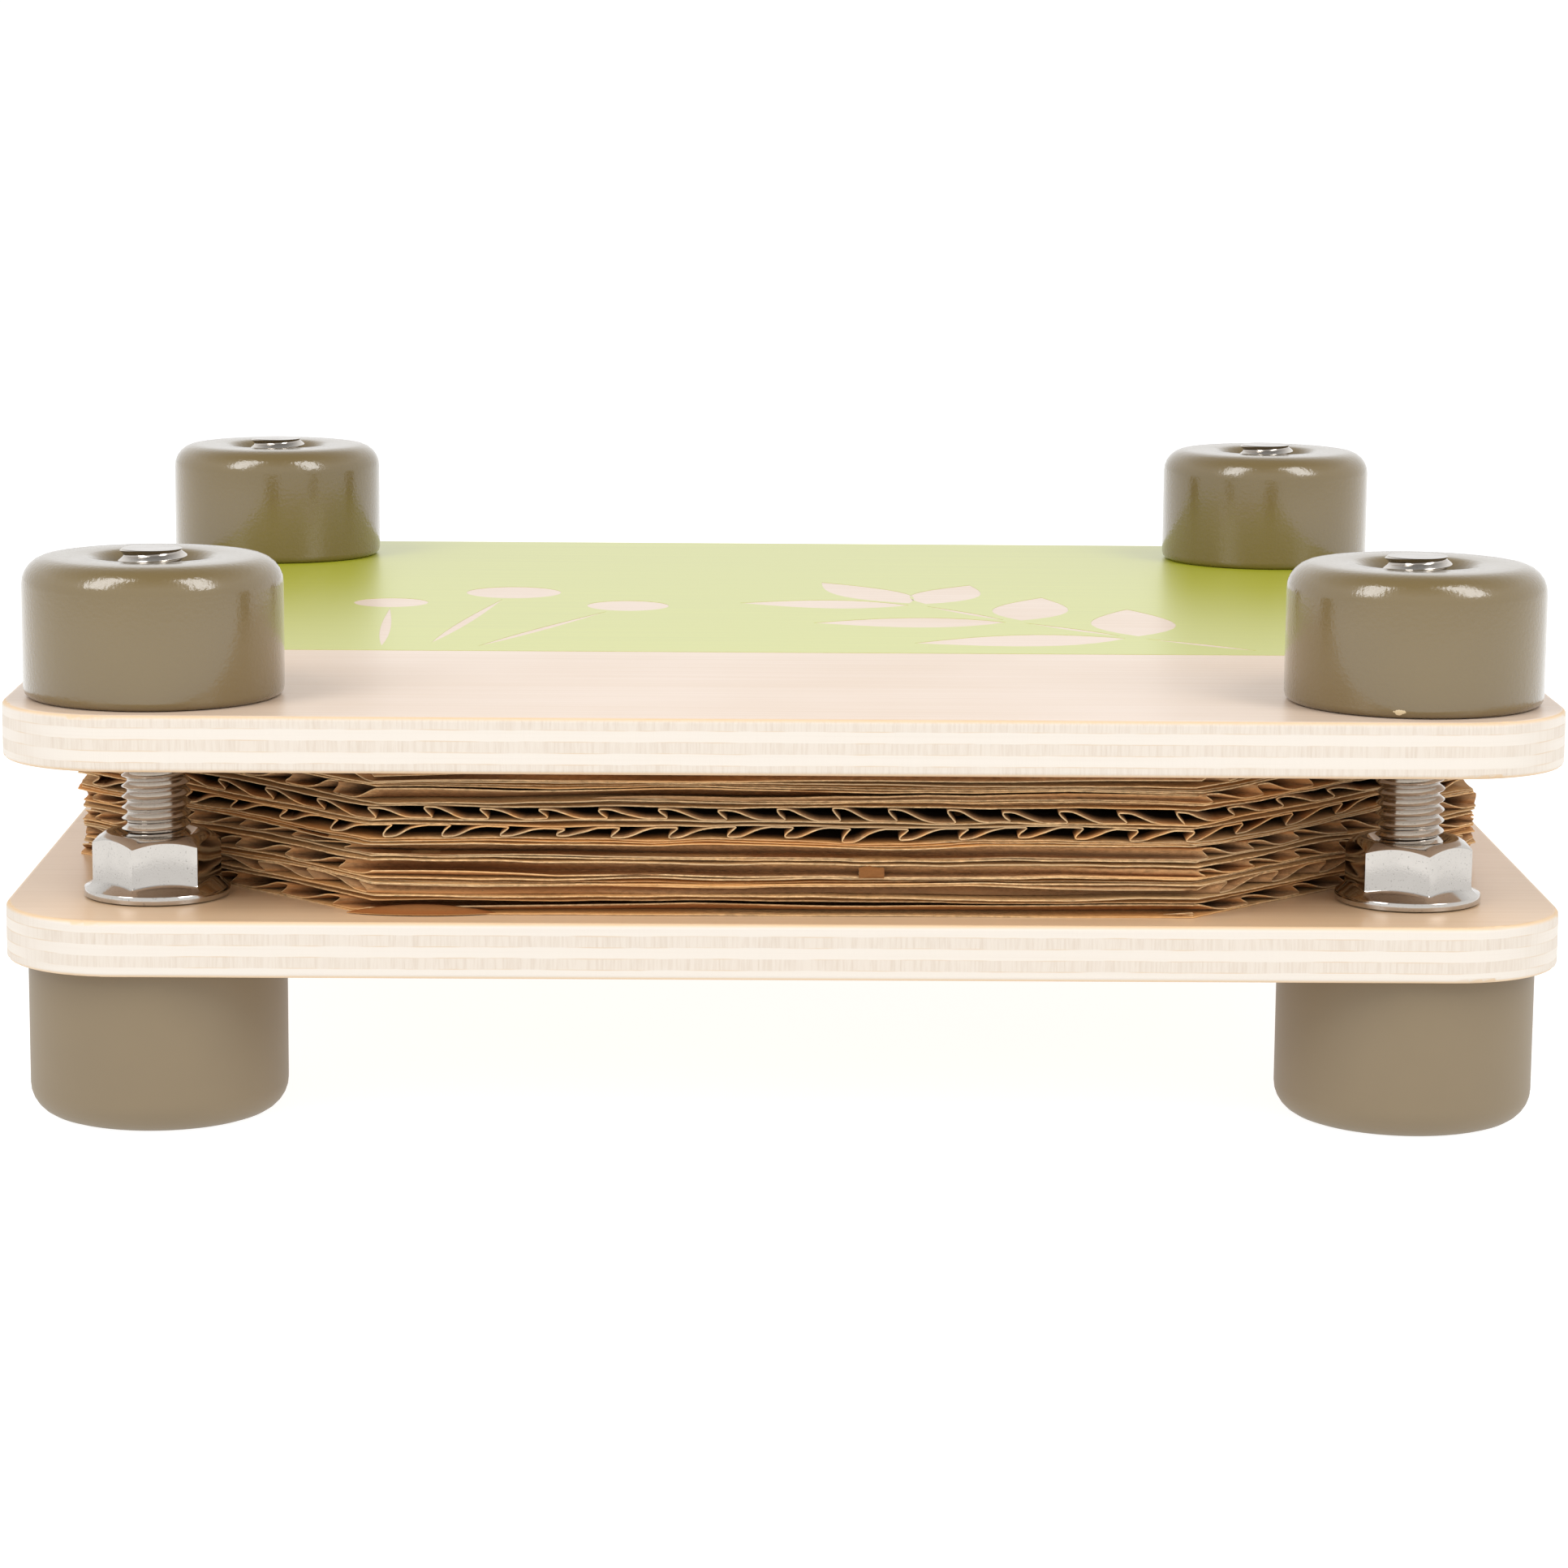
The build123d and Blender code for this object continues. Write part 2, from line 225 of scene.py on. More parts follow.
def node(tree, kind, inputs=None, **settings):
    """Adds a shader node with its settings, links or sets its inputs, and gives its outputs."""
    made = tree.nodes.new(f"ShaderNode{kind}")
    for key, value in settings.items():
        setattr(made, key, value)
    for key, value in (inputs or {}).items():
        if isinstance(value, bpy.types.NodeSocket):
            tree.links.new(value, made.inputs[key])
        else:
            made.inputs[key].default_value = value
    return made.outputs


def maths(tree, operation, *values):
    """The result of an operation on numbers."""
    return node(tree, "Math", dict(enumerate(values)), operation=operation)[0]


def vector_maths(tree, operation, *values):
    """The result of an operation on vectors."""
    return node(tree, "VectorMath", dict(enumerate(values)), operation=operation)[0]


def distance(tree, spot, scale=(1, 1, 1), offset=(0, 0, 0)):
    """The length of a vector after it is scaled and moved."""
    moved = vector_maths(tree, "MULTIPLY_ADD", spot, scale, offset)
    return node(tree, "VectorMath", {0: moved}, operation="LENGTH")["Value"]


def parts(tree, vector):
    """The x, y and z of a vector."""
    return node(tree, "SeparateXYZ", {0: vector})


def ranged(tree, value, start, end, low=0.0, high=1.0, **settings):
    """A value that runs from low to high while another runs from start to end."""
    return node(tree, "MapRange", {0: value, 1: start, 2: end, 3: low, 4: high}, **settings)[0]


def blend(tree, share, under, over):
    """A colour with a share of another over it."""
    inputs = {0: share, MIX_A: under, MIX_B: over}
    return node(tree, "Mix", inputs, data_type="RGBA")[MIX_RESULT]


def speckle(tree, spot, size, detail, roughness=0.5):
    """Noise with patches of one size, or of a size along x, y and z each."""
    scale = 1.0
    if isinstance(size, tuple):
        spot = node(tree, "Mapping", {0: spot, "Scale": [1 / length for length in size]})[0]
    else:
        scale = 1 / size
    inputs = {0: spot, "Scale": scale, "Detail": detail, "Roughness": roughness}
    return node(tree, "TexNoise", inputs)[0]


def relief(tree, height, strength, distance):
    """A bump that follows a height."""
    return node(tree, "Bump", {"Strength": strength, "Distance": distance, "Height": height})[0]


def toned(colour, *shares):
    """A colour with its red, green and blue scaled by one share, or by a share each."""
    return [min(1.0, channel * share) for channel, share in zip(colour[:3], shares * 3)] + [1.0]


def new_material(name):
    """An empty node material, its tree and its object coordinates."""
    material = bpy.data.materials.new(name)
    material.use_nodes = True
    tree = material.node_tree
    tree.nodes.clear()
    return material, tree, node(tree, "TexCoord")["Object"]


def shade(tree, **inputs):
    """Ends a material in a Principled shader. Underscores in a name stand for spaces."""
    named = {key.replace("_", " "): value for key, value in inputs.items()}
    shader = node(tree, "BsdfPrincipled", named)
    node(tree, "OutputMaterial", {"Surface": shader[0]})


def fibre_end_share(tree, ply, across, first_ply_long):
    """One where a ply shows its fibre ends and none where it shows its length. Plies that show fibre ends
    in front show their length at the sides."""
    odd = maths(tree, "FLOORED_MODULO", maths(tree, "FLOOR", ply), 2.0)
    side = ranged(tree, across, -0.5, 0.5, interpolation_type="SMOOTHSTEP")
    ends = maths(tree, "ABSOLUTE", maths(tree, "SUBTRACT", odd, side))
    return ends if first_ply_long else maths(tree, "SUBTRACT", 1.0, ends)


def birch_plywood(name, board, veneer, first_ply_long):
    """Varnished birch plywood: tan faces with faint streaks that mirror the white room at a low angle, and
    matt edges that show smooth plies between plies of fine upright fibre ends, with broken glue lines."""
    wood = bpy.context.scene.press_wood
    low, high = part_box(board)
    material, tree, spot = new_material(name)
    normal = node(tree, "TexCoord")["Normal"]
    facing_x, facing_y, facing_z = [maths(tree, "ABSOLUTE", part) for part in parts(tree, normal)]

    streak = speckle(tree, spot, (70 * MM, wood.grain_width, wood.grain_width), 4.0, 0.62)
    cloud = speckle(tree, spot, 38 * MM, 3.0)
    tone = ranged(tree, maths(tree, "ADD", streak, cloud), 0.75, 1.3)
    face = blend(tree, tone, veneer, toned(veneer, 0.9, 0.84, 0.75))

    wobble = speckle(tree, spot, 9 * MM, 2.0)
    height = maths(tree, "MULTIPLY_ADD", wobble, 0.22 * MM, parts(tree, spot)[2])
    ply = ranged(tree, height, low.z, low.z + (high.z - low.z) / wood.plies, clamp=False)
    ends = fibre_end_share(tree, ply, maths(tree, "SUBTRACT", facing_x, facing_y), first_ply_long)
    ticks = speckle(tree, spot, (wood.tick_width, wood.tick_width, 5 * MM), 2.0, 0.7)
    tick_share = ranged(tree, ticks, 0.42, 0.75, high=0.75)
    layers = speckle(tree, spot, (45 * MM, 45 * MM, 0.28 * MM), 3.0, 0.6)
    layer_share = ranged(tree, layers, 0.5, 0.8, high=0.55)
    end_grain = blend(tree, tick_share, wood.end_grain, wood.tick)
    long_grain = blend(tree, layer_share, wood.long_grain, wood.end_grain)
    edge = blend(tree, ends, long_grain, end_grain)
    line = ranged(tree, maths(tree, "PINGPONG", ply, 0.5), 0.07, 0.0)
    unbroken = ranged(tree, speckle(tree, spot, 6 * MM, 4.0), 0.42, 0.62)
    glued = blend(tree, maths(tree, "MULTIPLY", line, unbroken), edge, wood.glue)
    rimmed = blend(tree, ranged(tree, facing_z, 0.25, 0.7, high=0.75), glued, wood.arris)

    flat = ranged(tree, facing_z, 0.86, 0.97)
    fibres = ranged(tree, flat, 0.0, 1.0, tick_share, streak)
    shade(
        tree,
        Base_Color=blend(tree, flat, rimmed, face),
        Roughness=ranged(tree, flat, 0.0, 1.0, 0.6, 0.3),
        Normal=relief(tree, fibres, 0.25, 0.05 * MM),
    )
    return material


def screen_print_ink(name):
    """Screen-printed ink: an even satin film that mirrors the bright room at a low angle and is deep lime
    elsewhere."""
    ink = bpy.context.scene.press_print.ink
    material, tree, spot = new_material(name)
    weave = speckle(tree, spot, (60 * MM, MM, MM), 3.0)
    colour = blend(tree, ranged(tree, weave, 0.3, 0.8, high=0.6), ink, toned(ink, 0.82))
    bump = relief(tree, weave, 0.05, 0.02 * MM)
    shade(
        tree, Base_Color=colour, Roughness=0.32, Coat_Weight=0.72, Coat_Roughness=0.36, Normal=bump,
        Coat_Normal=bump,
    )
    return material


def sprayed_paint(name, colour, roughness, ripple, coat):
    """Sprayed paint on turned wood: one even colour, with the soft ripples of sprayed lacquer in its
    highlights, faint turning lines under it and one chip that shows the wood."""
    paint = bpy.context.scene.press_paint
    material, tree, spot = new_material(name)
    peel = speckle(tree, spot, paint.peel, 2.0, 0.45)
    lines = speckle(tree, spot, (9 * MM, 9 * MM, 0.5 * MM), 2.0)
    tone = blend(tree, speckle(tree, spot, 7 * MM, 3.0), colour, toned(colour, 1.08))
    bump = relief(tree, maths(tree, "MULTIPLY_ADD", lines, 0.25, peel), ripple, 0.035 * MM)
    squat = (0.7, 0.7, 1.4)
    middle = [-at * share * MM for at, share in zip(CHIP, squat)]
    torn = maths(tree, "MULTIPLY_ADD", peel, 0.7 * MM, distance(tree, spot, squat, middle))
    chipped = blend(tree, ranged(tree, torn, 0.82 * MM, 0.76 * MM), tone, paint.chip)
    shade(
        tree, Base_Color=chipped, Roughness=roughness, Specular_IOR_Level=0.65, Coat_Weight=coat,
        Coat_Roughness=0.12, Normal=bump, Coat_Normal=bump,
    )
    return material


def groove_grime_and_shade(tree, spot, root, crest):
    """How much grime and painted shade darken a thread, from its root radius to its crest radius. All bolts
    stand equally far from the middle of the press."""
    x, y = bolt_axis("back_right")
    span = vector_maths(tree, "ABSOLUTE", spot)
    return ranged(tree, distance(tree, span, (1, 1, 0), (-x, -y, 0)), root, crest, 0.34, 0.0)


def plated_metal(name, colour, smooth, rough, grit, groove=None):
    """Plated or rolled metal: a bright mirror whose gloss varies a little with handling marks, with fine
    pits that are drawn coarser than they are, so that they show. The grooves of a thread, whose root and
    crest radius are given, are darkened with grime and painted shade, which sets off the bright crests."""
    material, tree, spot = new_material(name)
    specks = speckle(tree, spot, grit, 3.0)
    marks = speckle(tree, spot, 3 * MM, 4.0)
    tint = blend(tree, marks, colour, toned(colour, 0.86))
    surface = blend(tree, ranged(tree, specks, 0.62, 0.72, high=0.5), tint, toned(colour, 0.3))
    # Grime and painted shade: the thread darkens from its crests down to its roots.
    if groove:
        grime_and_shade = bpy.context.scene.press_metal.grime_and_shade
        surface = blend(tree, groove_grime_and_shade(tree, spot, *groove), surface, grime_and_shade)
    shade(
        tree,
        Base_Color=surface,
        Metallic=1.0,
        Roughness=ranged(tree, marks, 0.35, 0.7, smooth, rough),
        Normal=relief(tree, specks, 0.3, 0.02 * MM),
    )
    return material


def flute_gloom(tree, spot, flank):
    """How much painted shade darkens the flutes, from the distance behind the cut edge of the cards."""
    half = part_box("card_1")[1].x
    slope = sqrt(0.5)
    span = vector_maths(tree, "ABSOLUTE", spot)
    x, y, _ = parts(tree, span)
    wide_x, wide_y, _ = parts(tree, vector_maths(tree, "ADD", span, (*flank, 0)))
    side = maths(tree, "SUBTRACT", half, maths(tree, "MAXIMUM", wide_x, wide_y))
    reach = (2 * half - SHEET_CUT * MM) * slope
    slant = maths(tree, "MULTIPLY_ADD", maths(tree, "ADD", x, y), -slope, reach)
    return ranged(tree, maths(tree, "MINIMUM", side, slant), 0.3 * MM, 4.0 * MM, high=0.97)


def kraft(name, colour, spread, flank=None):
    """Unbleached kraft paper: a matt brown with longer and shorter fibres, dark and pale flecks, and each
    layer of the pack a little different. Inside the flutes, painted shade darkens the kraft behind the cut
    edge, but the outermost flute, whose width along x and y is the flank, is left unshaded."""
    material, tree, spot = new_material(name)
    layers = speckle(tree, spot, (50 * MM, 50 * MM, 0.7 * MM), 1.0)
    strands = speckle(tree, spot, (0.9 * MM, 0.7 * MM, 0.35 * MM), 4.0, 0.7)
    flecks = speckle(tree, spot, 0.45 * MM, 1.0)
    dark = toned(colour, 1 - spread)
    pale = toned(colour, 1 + spread)
    warm = toned(colour, 1.15, 0.92, 0.66)
    cool = toned(colour, 0.8, 0.84, 0.92)
    fibres = blend(tree, ranged(tree, strands, 0.3, 0.72), dark, pale)
    greyed = blend(tree, ranged(tree, layers, 0.48, 0.34, high=0.7), fibres, cool)
    warmed = blend(tree, ranged(tree, layers, 0.52, 0.66, high=0.7), greyed, warm)
    surface = blend(tree, ranged(tree, flecks, 0.7, 0.78, high=0.6), warmed, dark)
    # Painted shade: deep in the flutes the kraft runs into a near-black brown.
    if flank:
        painted_flute_shade = bpy.context.scene.press_pack.painted_flute_shade
        surface = blend(tree, flute_gloom(tree, spot, flank), surface, painted_flute_shade)
    bump = relief(tree, strands, 0.5, 0.08 * MM)
    shade(tree, Base_Color=surface, Roughness=0.85, Specular_IOR_Level=0.25, Normal=bump)
    return material


def light_table(name):
    """White acrylic light table with a barely visible fleck: it glows through, which leaves the press only
    a faint shadow, and its glow is turned down a little where the press stands, a painted shadow."""
    stage = bpy.context.scene.press_stage
    material, tree, spot = new_material(name)
    colour = blend(tree, speckle(tree, spot, 20 * MM, 2.0), stage.floor, toned(stage.floor, 0.97))
    # Painted shadow: weaker glow under the press than beside it.
    under_press, beside_press, painted_shadow_glow = 40 * MM, 140 * MM, 0.92 * stage.glow
    glow = ranged(
        tree, distance(tree, spot), under_press, beside_press, painted_shadow_glow, stage.glow,
        interpolation_type="SMOOTHSTEP",
    )
    shade(
        tree, Base_Color=colour, Roughness=0.9, Specular_IOR_Level=0.1, Emission_Color=(1, 1, 1, 1),
        Emission_Strength=glow,
    )
    return material


def new_mesh(name, bm):
    """A mesh from a bmesh, which is used up."""
    mesh = bpy.data.meshes.new(name)
    bm.to_mesh(mesh)
    bm.free()
    return mesh


def new_object(name, data):
    """An object in the scene."""
    made = bpy.data.objects.new(name, data)
    bpy.context.scene.collection.objects.link(made)
    return made


def finish_piece(name, bm, materials, body, replaced=None, sharp_angle=38.0):
    """Makes a shaded object of a bmesh, lets it ride on its body and hides the CAD node it replaces."""
    mesh = new_mesh(name, bm)
    for material in materials:
        mesh.materials.append(material)
    mesh.shade_smooth()
    mesh.set_sharp_from_angle(angle=radians(sharp_angle))
    piece = new_object(name, mesh)
    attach(piece, body)
    if replaced:
        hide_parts(replaced)
    return piece


def dress(node_name, material):
    """Gives a CAD node its material."""
    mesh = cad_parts[node_name].data
    mesh.materials.clear()
    mesh.materials.append(material)


def bolt_axis(corner):
    """Where a corner's bolt stands."""
    low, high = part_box(f"bolt_{corner}")
    return (low.x + high.x) / 2, (low.y + high.y) / 2


def turn_profile(corners, x, y):
    """Turns a closed profile of (radius, height) corners about a bolt axis, and rounds the corners that
    give a third value. Lengths are in millimetres."""
    bm = bmesh.new()
    points = [bm.verts.new((x + corner[0] * MM, y, corner[1] * MM)) for corner in corners]
    wires = [bm.edges.new((points[at - 1], points[at])) for at in range(len(points))]
    bmesh.ops.spin(
        bm, geom=points + wires, cent=(x, y, 0), axis=(0, 0, 1), angle=2 * pi, steps=TURNED_STEPS,
        use_merge=True,
    )
    bmesh.ops.recalc_face_normals(bm, faces=bm.faces)
    for radius, height, *rounding in corners:
        if rounding:
            round_ring(bm, x, y, radius * MM, height * MM, rounding[0])
    return bm


def round_ring(bm, x, y, radius, height, rounding):
    """Rounds a turned edge, with the rounding in millimetres."""

    def on_ring(vert):
        reach = hypot(vert.co.x - x, vert.co.y - y)
        return abs(reach - radius) < 0.02 * MM and abs(vert.co.z - height) < 0.002 * MM

    ring = [edge for edge in bm.edges if all(on_ring(vert) for vert in edge.verts)]
    segments = max(3, round(rounding * 2))
    bmesh.ops.bevel(
        bm, geom=ring, offset=rounding * MM, segments=segments, profile=0.5, affect="EDGES", material=-1
    )


def items_of(geometry_list, kind):
    """The items of one kind in what a bmesh operator made."""
    return [item for item in geometry_list if isinstance(item, kind)]


def raise_hexagon(bm, x, y, across, turn, rings, steps=240):
    """Builds a hexagonal piece from the inside round and up: a circle of points is extruded ring by ring,
    and each ring's function gives the radius and height of its points from their radius on the hexagon.
    Lengths are in metres."""
    turned = Matrix.Rotation(turn, 4, "Z")
    circle = bmesh.ops.create_circle(bm, cap_ends=False, segments=steps, radius=across, matrix=turned)
    line = circle["verts"]
    edges = bm.edges[:]
    for number, ring in enumerate(rings):
        if number:
            made = bmesh.ops.extrude_edge_only(bm, edges=edges)["geom"]
            line = set(items_of(made, bmesh.types.BMVert))
            edges = [edge for edge in items_of(made, bmesh.types.BMEdge) if line.issuperset(edge.verts)]
        for vert in line:
            angle = atan2(vert.co.y, vert.co.x)
            corner = across / 2 / cos((angle - turn) % (pi / 3) - pi / 6)
            radius, height = ring(min(corner, HEXAGON_CORNER * across))
            vert.co = (cos(angle) * radius, sin(angle) * radius, height)
    bmesh.ops.translate(bm, verts=bm.verts, vec=(x, y, 0))
    bmesh.ops.recalc_face_normals(bm, faces=bm.faces)


def cut_off(bm, spot, way, **settings):
    """Cuts away what lies beyond a plane."""
    everything = bm.verts[:] + bm.edges[:] + bm.faces[:]
    bmesh.ops.bisect_plane(bm, geom=everything, plane_co=spot, plane_no=way, clear_outer=True, **settings)


def close_ends(bm):
    """Fills the open ends of a piece."""
    bmesh.ops.holes_fill(bm, edges=[edge for edge in bm.edges if edge.is_boundary])
    bmesh.ops.recalc_face_normals(bm, faces=bm.faces)


class PRESS_OT_boards(bpy.types.Operator):
    """Gives the two boards their plywood"""

    bl_idname = "press.boards"
    bl_label = "Boards"

    def execute(self, context):
        wood = context.scene.press_wood
        # The base board takes its separately toned face colour: painted light and shade.
        dress("base_board", birch_plywood("birch_plywood_base", "base_board", wood.base_face_toned_for_light, True))
        dress("top_board", birch_plywood("birch_plywood_top", "top_board", wood.top_face, False))
        return {"FINISHED"}


def ray(angle):
    """A flat vector of length one."""
    return Vector((cos(angle), sin(angle)))


def add_loop(curve, knots):
    """Adds a closed loop of (point, left handle, right handle) to a flat curve."""
    spline = curve.splines.new("BEZIER")
    spline.bezier_points.add(len(knots) - 1)
    for point, (spot, left, right) in zip(spline.bezier_points, knots):
        point.handle_left_type = point.handle_right_type = "FREE"
        point.co, point.handle_left, point.handle_right = (Vector((*at, 0)) for at in (spot, left, right))
    spline.use_cyclic_u = True


def add_disc(curve, x, y, radius):
    """Adds a disc to a flat curve."""
    knots = []
    for angle in (0, pi / 2, pi, pi * 1.5):
        out = ray(angle)
        spot = Vector((x, y)) + out * radius
        handle = Vector((-out.y, out.x)) * CIRCLE_HANDLE * radius
        knots.append((spot, spot - handle, spot + handle))
    add_loop(curve, knots)


def add_leaf(curve, stalk, angle, length, width):
    """Adds a pointed leaf to a flat curve, from its stalk end."""
    along = ray(angle)
    out = Vector((-along.y, along.x))
    tip = stalk + along * length
    belly = along * length * 0.32
    bulge = out * width * 0.62
    taper = belly * 1.2
    point = bulge * 0.7
    add_loop(
        curve,
        [
            (stalk, stalk + belly - bulge, stalk + belly + bulge),
            (tip, tip - taper + point, tip - taper - point),
        ],
    )


def add_field(curve, settings, low, high):
    """The outline of the field, with round corners at the back."""
    left, right = low.x + settings.margin, high.x - settings.margin
    front, back = low.y + settings.front, high.y - settings.margin
    radius = PRINT_CORNER_RADIUS * MM
    reach = (1 - CIRCLE_HANDLE) * radius
    add_loop(
        curve,
        [
            ((left, front),) * 3,
            ((right, front),) * 3,
            ((right, back - radius), (right, back - radius), (right, back - reach)),
            ((right - radius, back), (right - reach, back), (right - radius, back)),
            ((left + radius, back), (left + radius, back), (left + reach, back)),
            ((left, back - radius), (left, back - reach), (left, back - radius)),
        ],
    )


def add_sprig(curve, spot, angle, bend, length, pairs):
    """A bending stem in short dashes, with pairs of broad leaves and one at the tip."""
    leaf_length, leaf_width = 28 * MM, 14 * MM
    tip_length, tip_width = 26 * MM, 12 * MM
    gap = 1.8 * MM
    lean = radians(52)
    step = length / (pairs + 1)
    for pair in range(pairs):
        along = ray(angle)
        size = 1 - 0.09 * pair
        add_leaf(curve, spot, angle, step * 0.82, gap)
        joint = spot + along * step * 0.86
        for side in (-1, 1):
            spread = angle + side * lean
            stalk = joint + ray(spread) * gap
            add_leaf(curve, stalk, spread, leaf_length * size, leaf_width * size)
        spot = spot + along * step
        angle += bend / pairs
    add_leaf(curve, spot, angle, tip_length, tip_width)


def add_berries(curve):
    """Three berries on stalks that come together. Places and radii are in millimetres."""
    berries = (((-50, -30), (-52, 14), 5.0), ((-44, -27), (-36, 26), 6.5), ((-38, -30), (-20, 12), 5.5))
    gap, width = 1.2, 1.7
    for stalk, middle, radius in berries:
        foot = Vector(stalk) * MM
        stem = Vector(middle) * MM - foot
        reach = stem.length - (radius + gap) * MM
        add_leaf(curve, foot, atan2(stem.y, stem.x), reach, width * MM)
        add_disc(curve, *(Vector(middle) * MM), radius * MM)


class PRESS_OT_print(bpy.types.Operator):
    """Prints the top board: a lime field with a sprig and berries left bare"""

    bl_idname = "press.print"
    bl_label = "Print"

    def execute(self, context):
        settings = context.scene.press_print
        low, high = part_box("top_board")
        curve = bpy.data.curves.new("print_outline", "CURVE")
        curve.dimensions = "2D"
        curve.fill_mode = "BOTH"
        curve.resolution_u = 10
        curve.extrude = settings.thickness / 2
        add_field(curve, settings, low, high)
        for corner in ("back_left", "back_right"):
            add_disc(curve, *bolt_axis(corner), BARE_DISC_RADIUS * MM)
        stalk_end = Vector((60, -30)) * MM
        add_sprig(curve, stalk_end, angle=radians(140), bend=radians(-24), length=84 * MM, pairs=3)
        add_berries(curve)
        flat = new_object("print_flat", curve)
        context.view_layer.update()
        mesh = bpy.data.meshes.new_from_object(flat.evaluated_get(context.evaluated_depsgraph_get()))
        bpy.data.objects.remove(flat)
        mesh.transform(Matrix.Translation((0, 0, high.z + settings.thickness / 2)))
        bm = bmesh.new()
        bm.from_mesh(mesh)
        bpy.data.meshes.remove(mesh)
        bmesh.ops.remove_doubles(bm, verts=bm.verts, dist=0.001 * MM)
        bmesh.ops.recalc_face_normals(bm, faces=bm.faces)
        finish_piece("print_field", bm, [screen_print_ink("lime_screen_print_ink")], "press_board")
        return {"FINISHED"}


class PRESS_OT_knobs(bpy.types.Operator):
    """Turns the four knobs, with a dish round each bolt's end"""

    bl_idname = "press.knobs"
    bl_label = "Knobs"

    def execute(self, context):
        settings = context.scene.press_paint
        gloss = settings.knob_roughness
        paint = sprayed_paint("sprayed_gloss_paint_on_beech", settings.knob, gloss, ripple=0.8, coat=0.6)
        for corner in CORNERS:
            low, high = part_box(f"knob_{corner}")
            sleeve_low, sleeve_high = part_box(f"knob_insert_{corner}")
            foot, top, sleeve = low.z / MM, high.z / MM, sleeve_high.z / MM
            radius = (high.x - low.x) / 2 / MM
            seat = (sleeve_high.x - sleeve_low.x) / 2 / MM + INSERT_CLEARANCE
            corners = [
                (seat, foot),
                (radius, foot, KNOB_FOOT_ROUND),
                (radius, top, KNOB_TOP_ROUND),
                (DISH_RADIUS, top, DISH_RIM_ROUND),
                (DISH_FLOOR_RADIUS, top - DISH_WALL_DEPTH, DISH_FLOOR_ROUND),
                (ROD_HOLE_RADIUS, top - DISH_DEPTH),
                (ROD_HOLE_RADIUS, sleeve),
                (seat, sleeve),
            ]
            bm = turn_profile(corners, *bolt_axis(corner))
            name = f"knob_{corner}"
            finish_piece(f"{name}_painted", bm, [paint], f"{corner}_knob", name)
        return {"FINISHED"}


class PRESS_OT_feet(bpy.types.Operator):
    """Turns the four feet, with a counterbore for each bolt head"""

    bl_idname = "press.feet"
    bl_label = "Feet"

    def execute(self, context):
        settings = context.scene.press_paint
        satin = settings.foot_roughness
        paint = sprayed_paint("sprayed_satin_paint_on_beech", settings.foot, satin, ripple=0.12, coat=0.0)
        for corner in CORNERS:
            low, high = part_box(f"foot_{corner}")
            top = high.z / MM
            radius = (high.x - low.x) / 2 / MM
            corners = [
                (ROD_HOLE_RADIUS, COUNTERBORE_DEPTH),
                (COUNTERBORE_RADIUS, COUNTERBORE_DEPTH),
                (COUNTERBORE_RADIUS, 0.0, COUNTERBORE_ROUND),
                (radius, 0.0, FOOT_BOTTOM_ROUND),
                (radius, top, FOOT_TOP_ROUND),
                (ROD_HOLE_RADIUS, top),
            ]
            bm = turn_profile(corners, *bolt_axis(corner))
            finish_piece(f"foot_{corner}_painted", bm, [paint], "base", f"foot_{corner}")
        return {"FINISHED"}


def head_rings(bottom, across):
    """The rings of a chamfered hexagon head, from a shallow dish below to the seat above."""
    seat = bottom + HEAD_HEIGHT * MM
    washer = 0.475 * across
    chamfer = 0.577  # tangent of 30 degrees
    return [
        lambda hexagon: (3.0 * MM, bottom + 0.15 * MM),
        lambda hexagon: (4.6 * MM, bottom),
        lambda hexagon: (washer, bottom),
        lambda hexagon: (hexagon, bottom + max(0.0, hexagon - washer) * chamfer),
        lambda hexagon: (hexagon, seat),
        lambda hexagon: (3.3 * MM, seat),
    ]


def add_thread(bm, x, y, bottom, top, pitch, steps=44):
    """A thread with a chamfered upper end: a turn's profile, repeated upwards, is spun while it rises."""
    radius = ROD_RADIUS * MM
    root = radius - THREAD_DEPTH * pitch
    soft = 0.05 * MM
    turns = int((top - bottom) / pitch) + 3
    shape = (
        (root + soft, 0.0), (root, 0.1), (root + soft, 0.2),
        (radius - soft, 0.5), (radius, 0.56), (radius - soft, 0.62),
        (root + 0.16 * MM, 0.9),
    )
    points = [
        bm.verts.new((x + reach, y, bottom + (turn - 2 + rise) * pitch))
        for turn in range(turns)
        for reach, rise in shape
    ]
    wires = [bm.edges.new(pair) for pair in zip(points, points[1:])]
    bmesh.ops.spin(
        bm, geom=points + wires, cent=(x, y, 0), axis=(0, 0, 1), dvec=(0, 0, pitch / steps),
        angle=2 * pi, steps=steps, use_merge=False,
    )
    bmesh.ops.remove_doubles(bm, verts=bm.verts, dist=0.01 * MM)
    cut_off(bm, (x, y, bottom), (0, 0, -1))
    cut_off(bm, (x, y, top), (0, 0, 1))
    for vert in bm.verts:
        reach = hypot(vert.co.x - x, vert.co.y - y)
        limit = root + 0.15 * MM + (top - vert.co.z)
        if reach > limit:
            vert.co.x = x + (vert.co.x - x) * limit / reach
            vert.co.y = y + (vert.co.y - y) * limit / reach
    close_ends(bm)


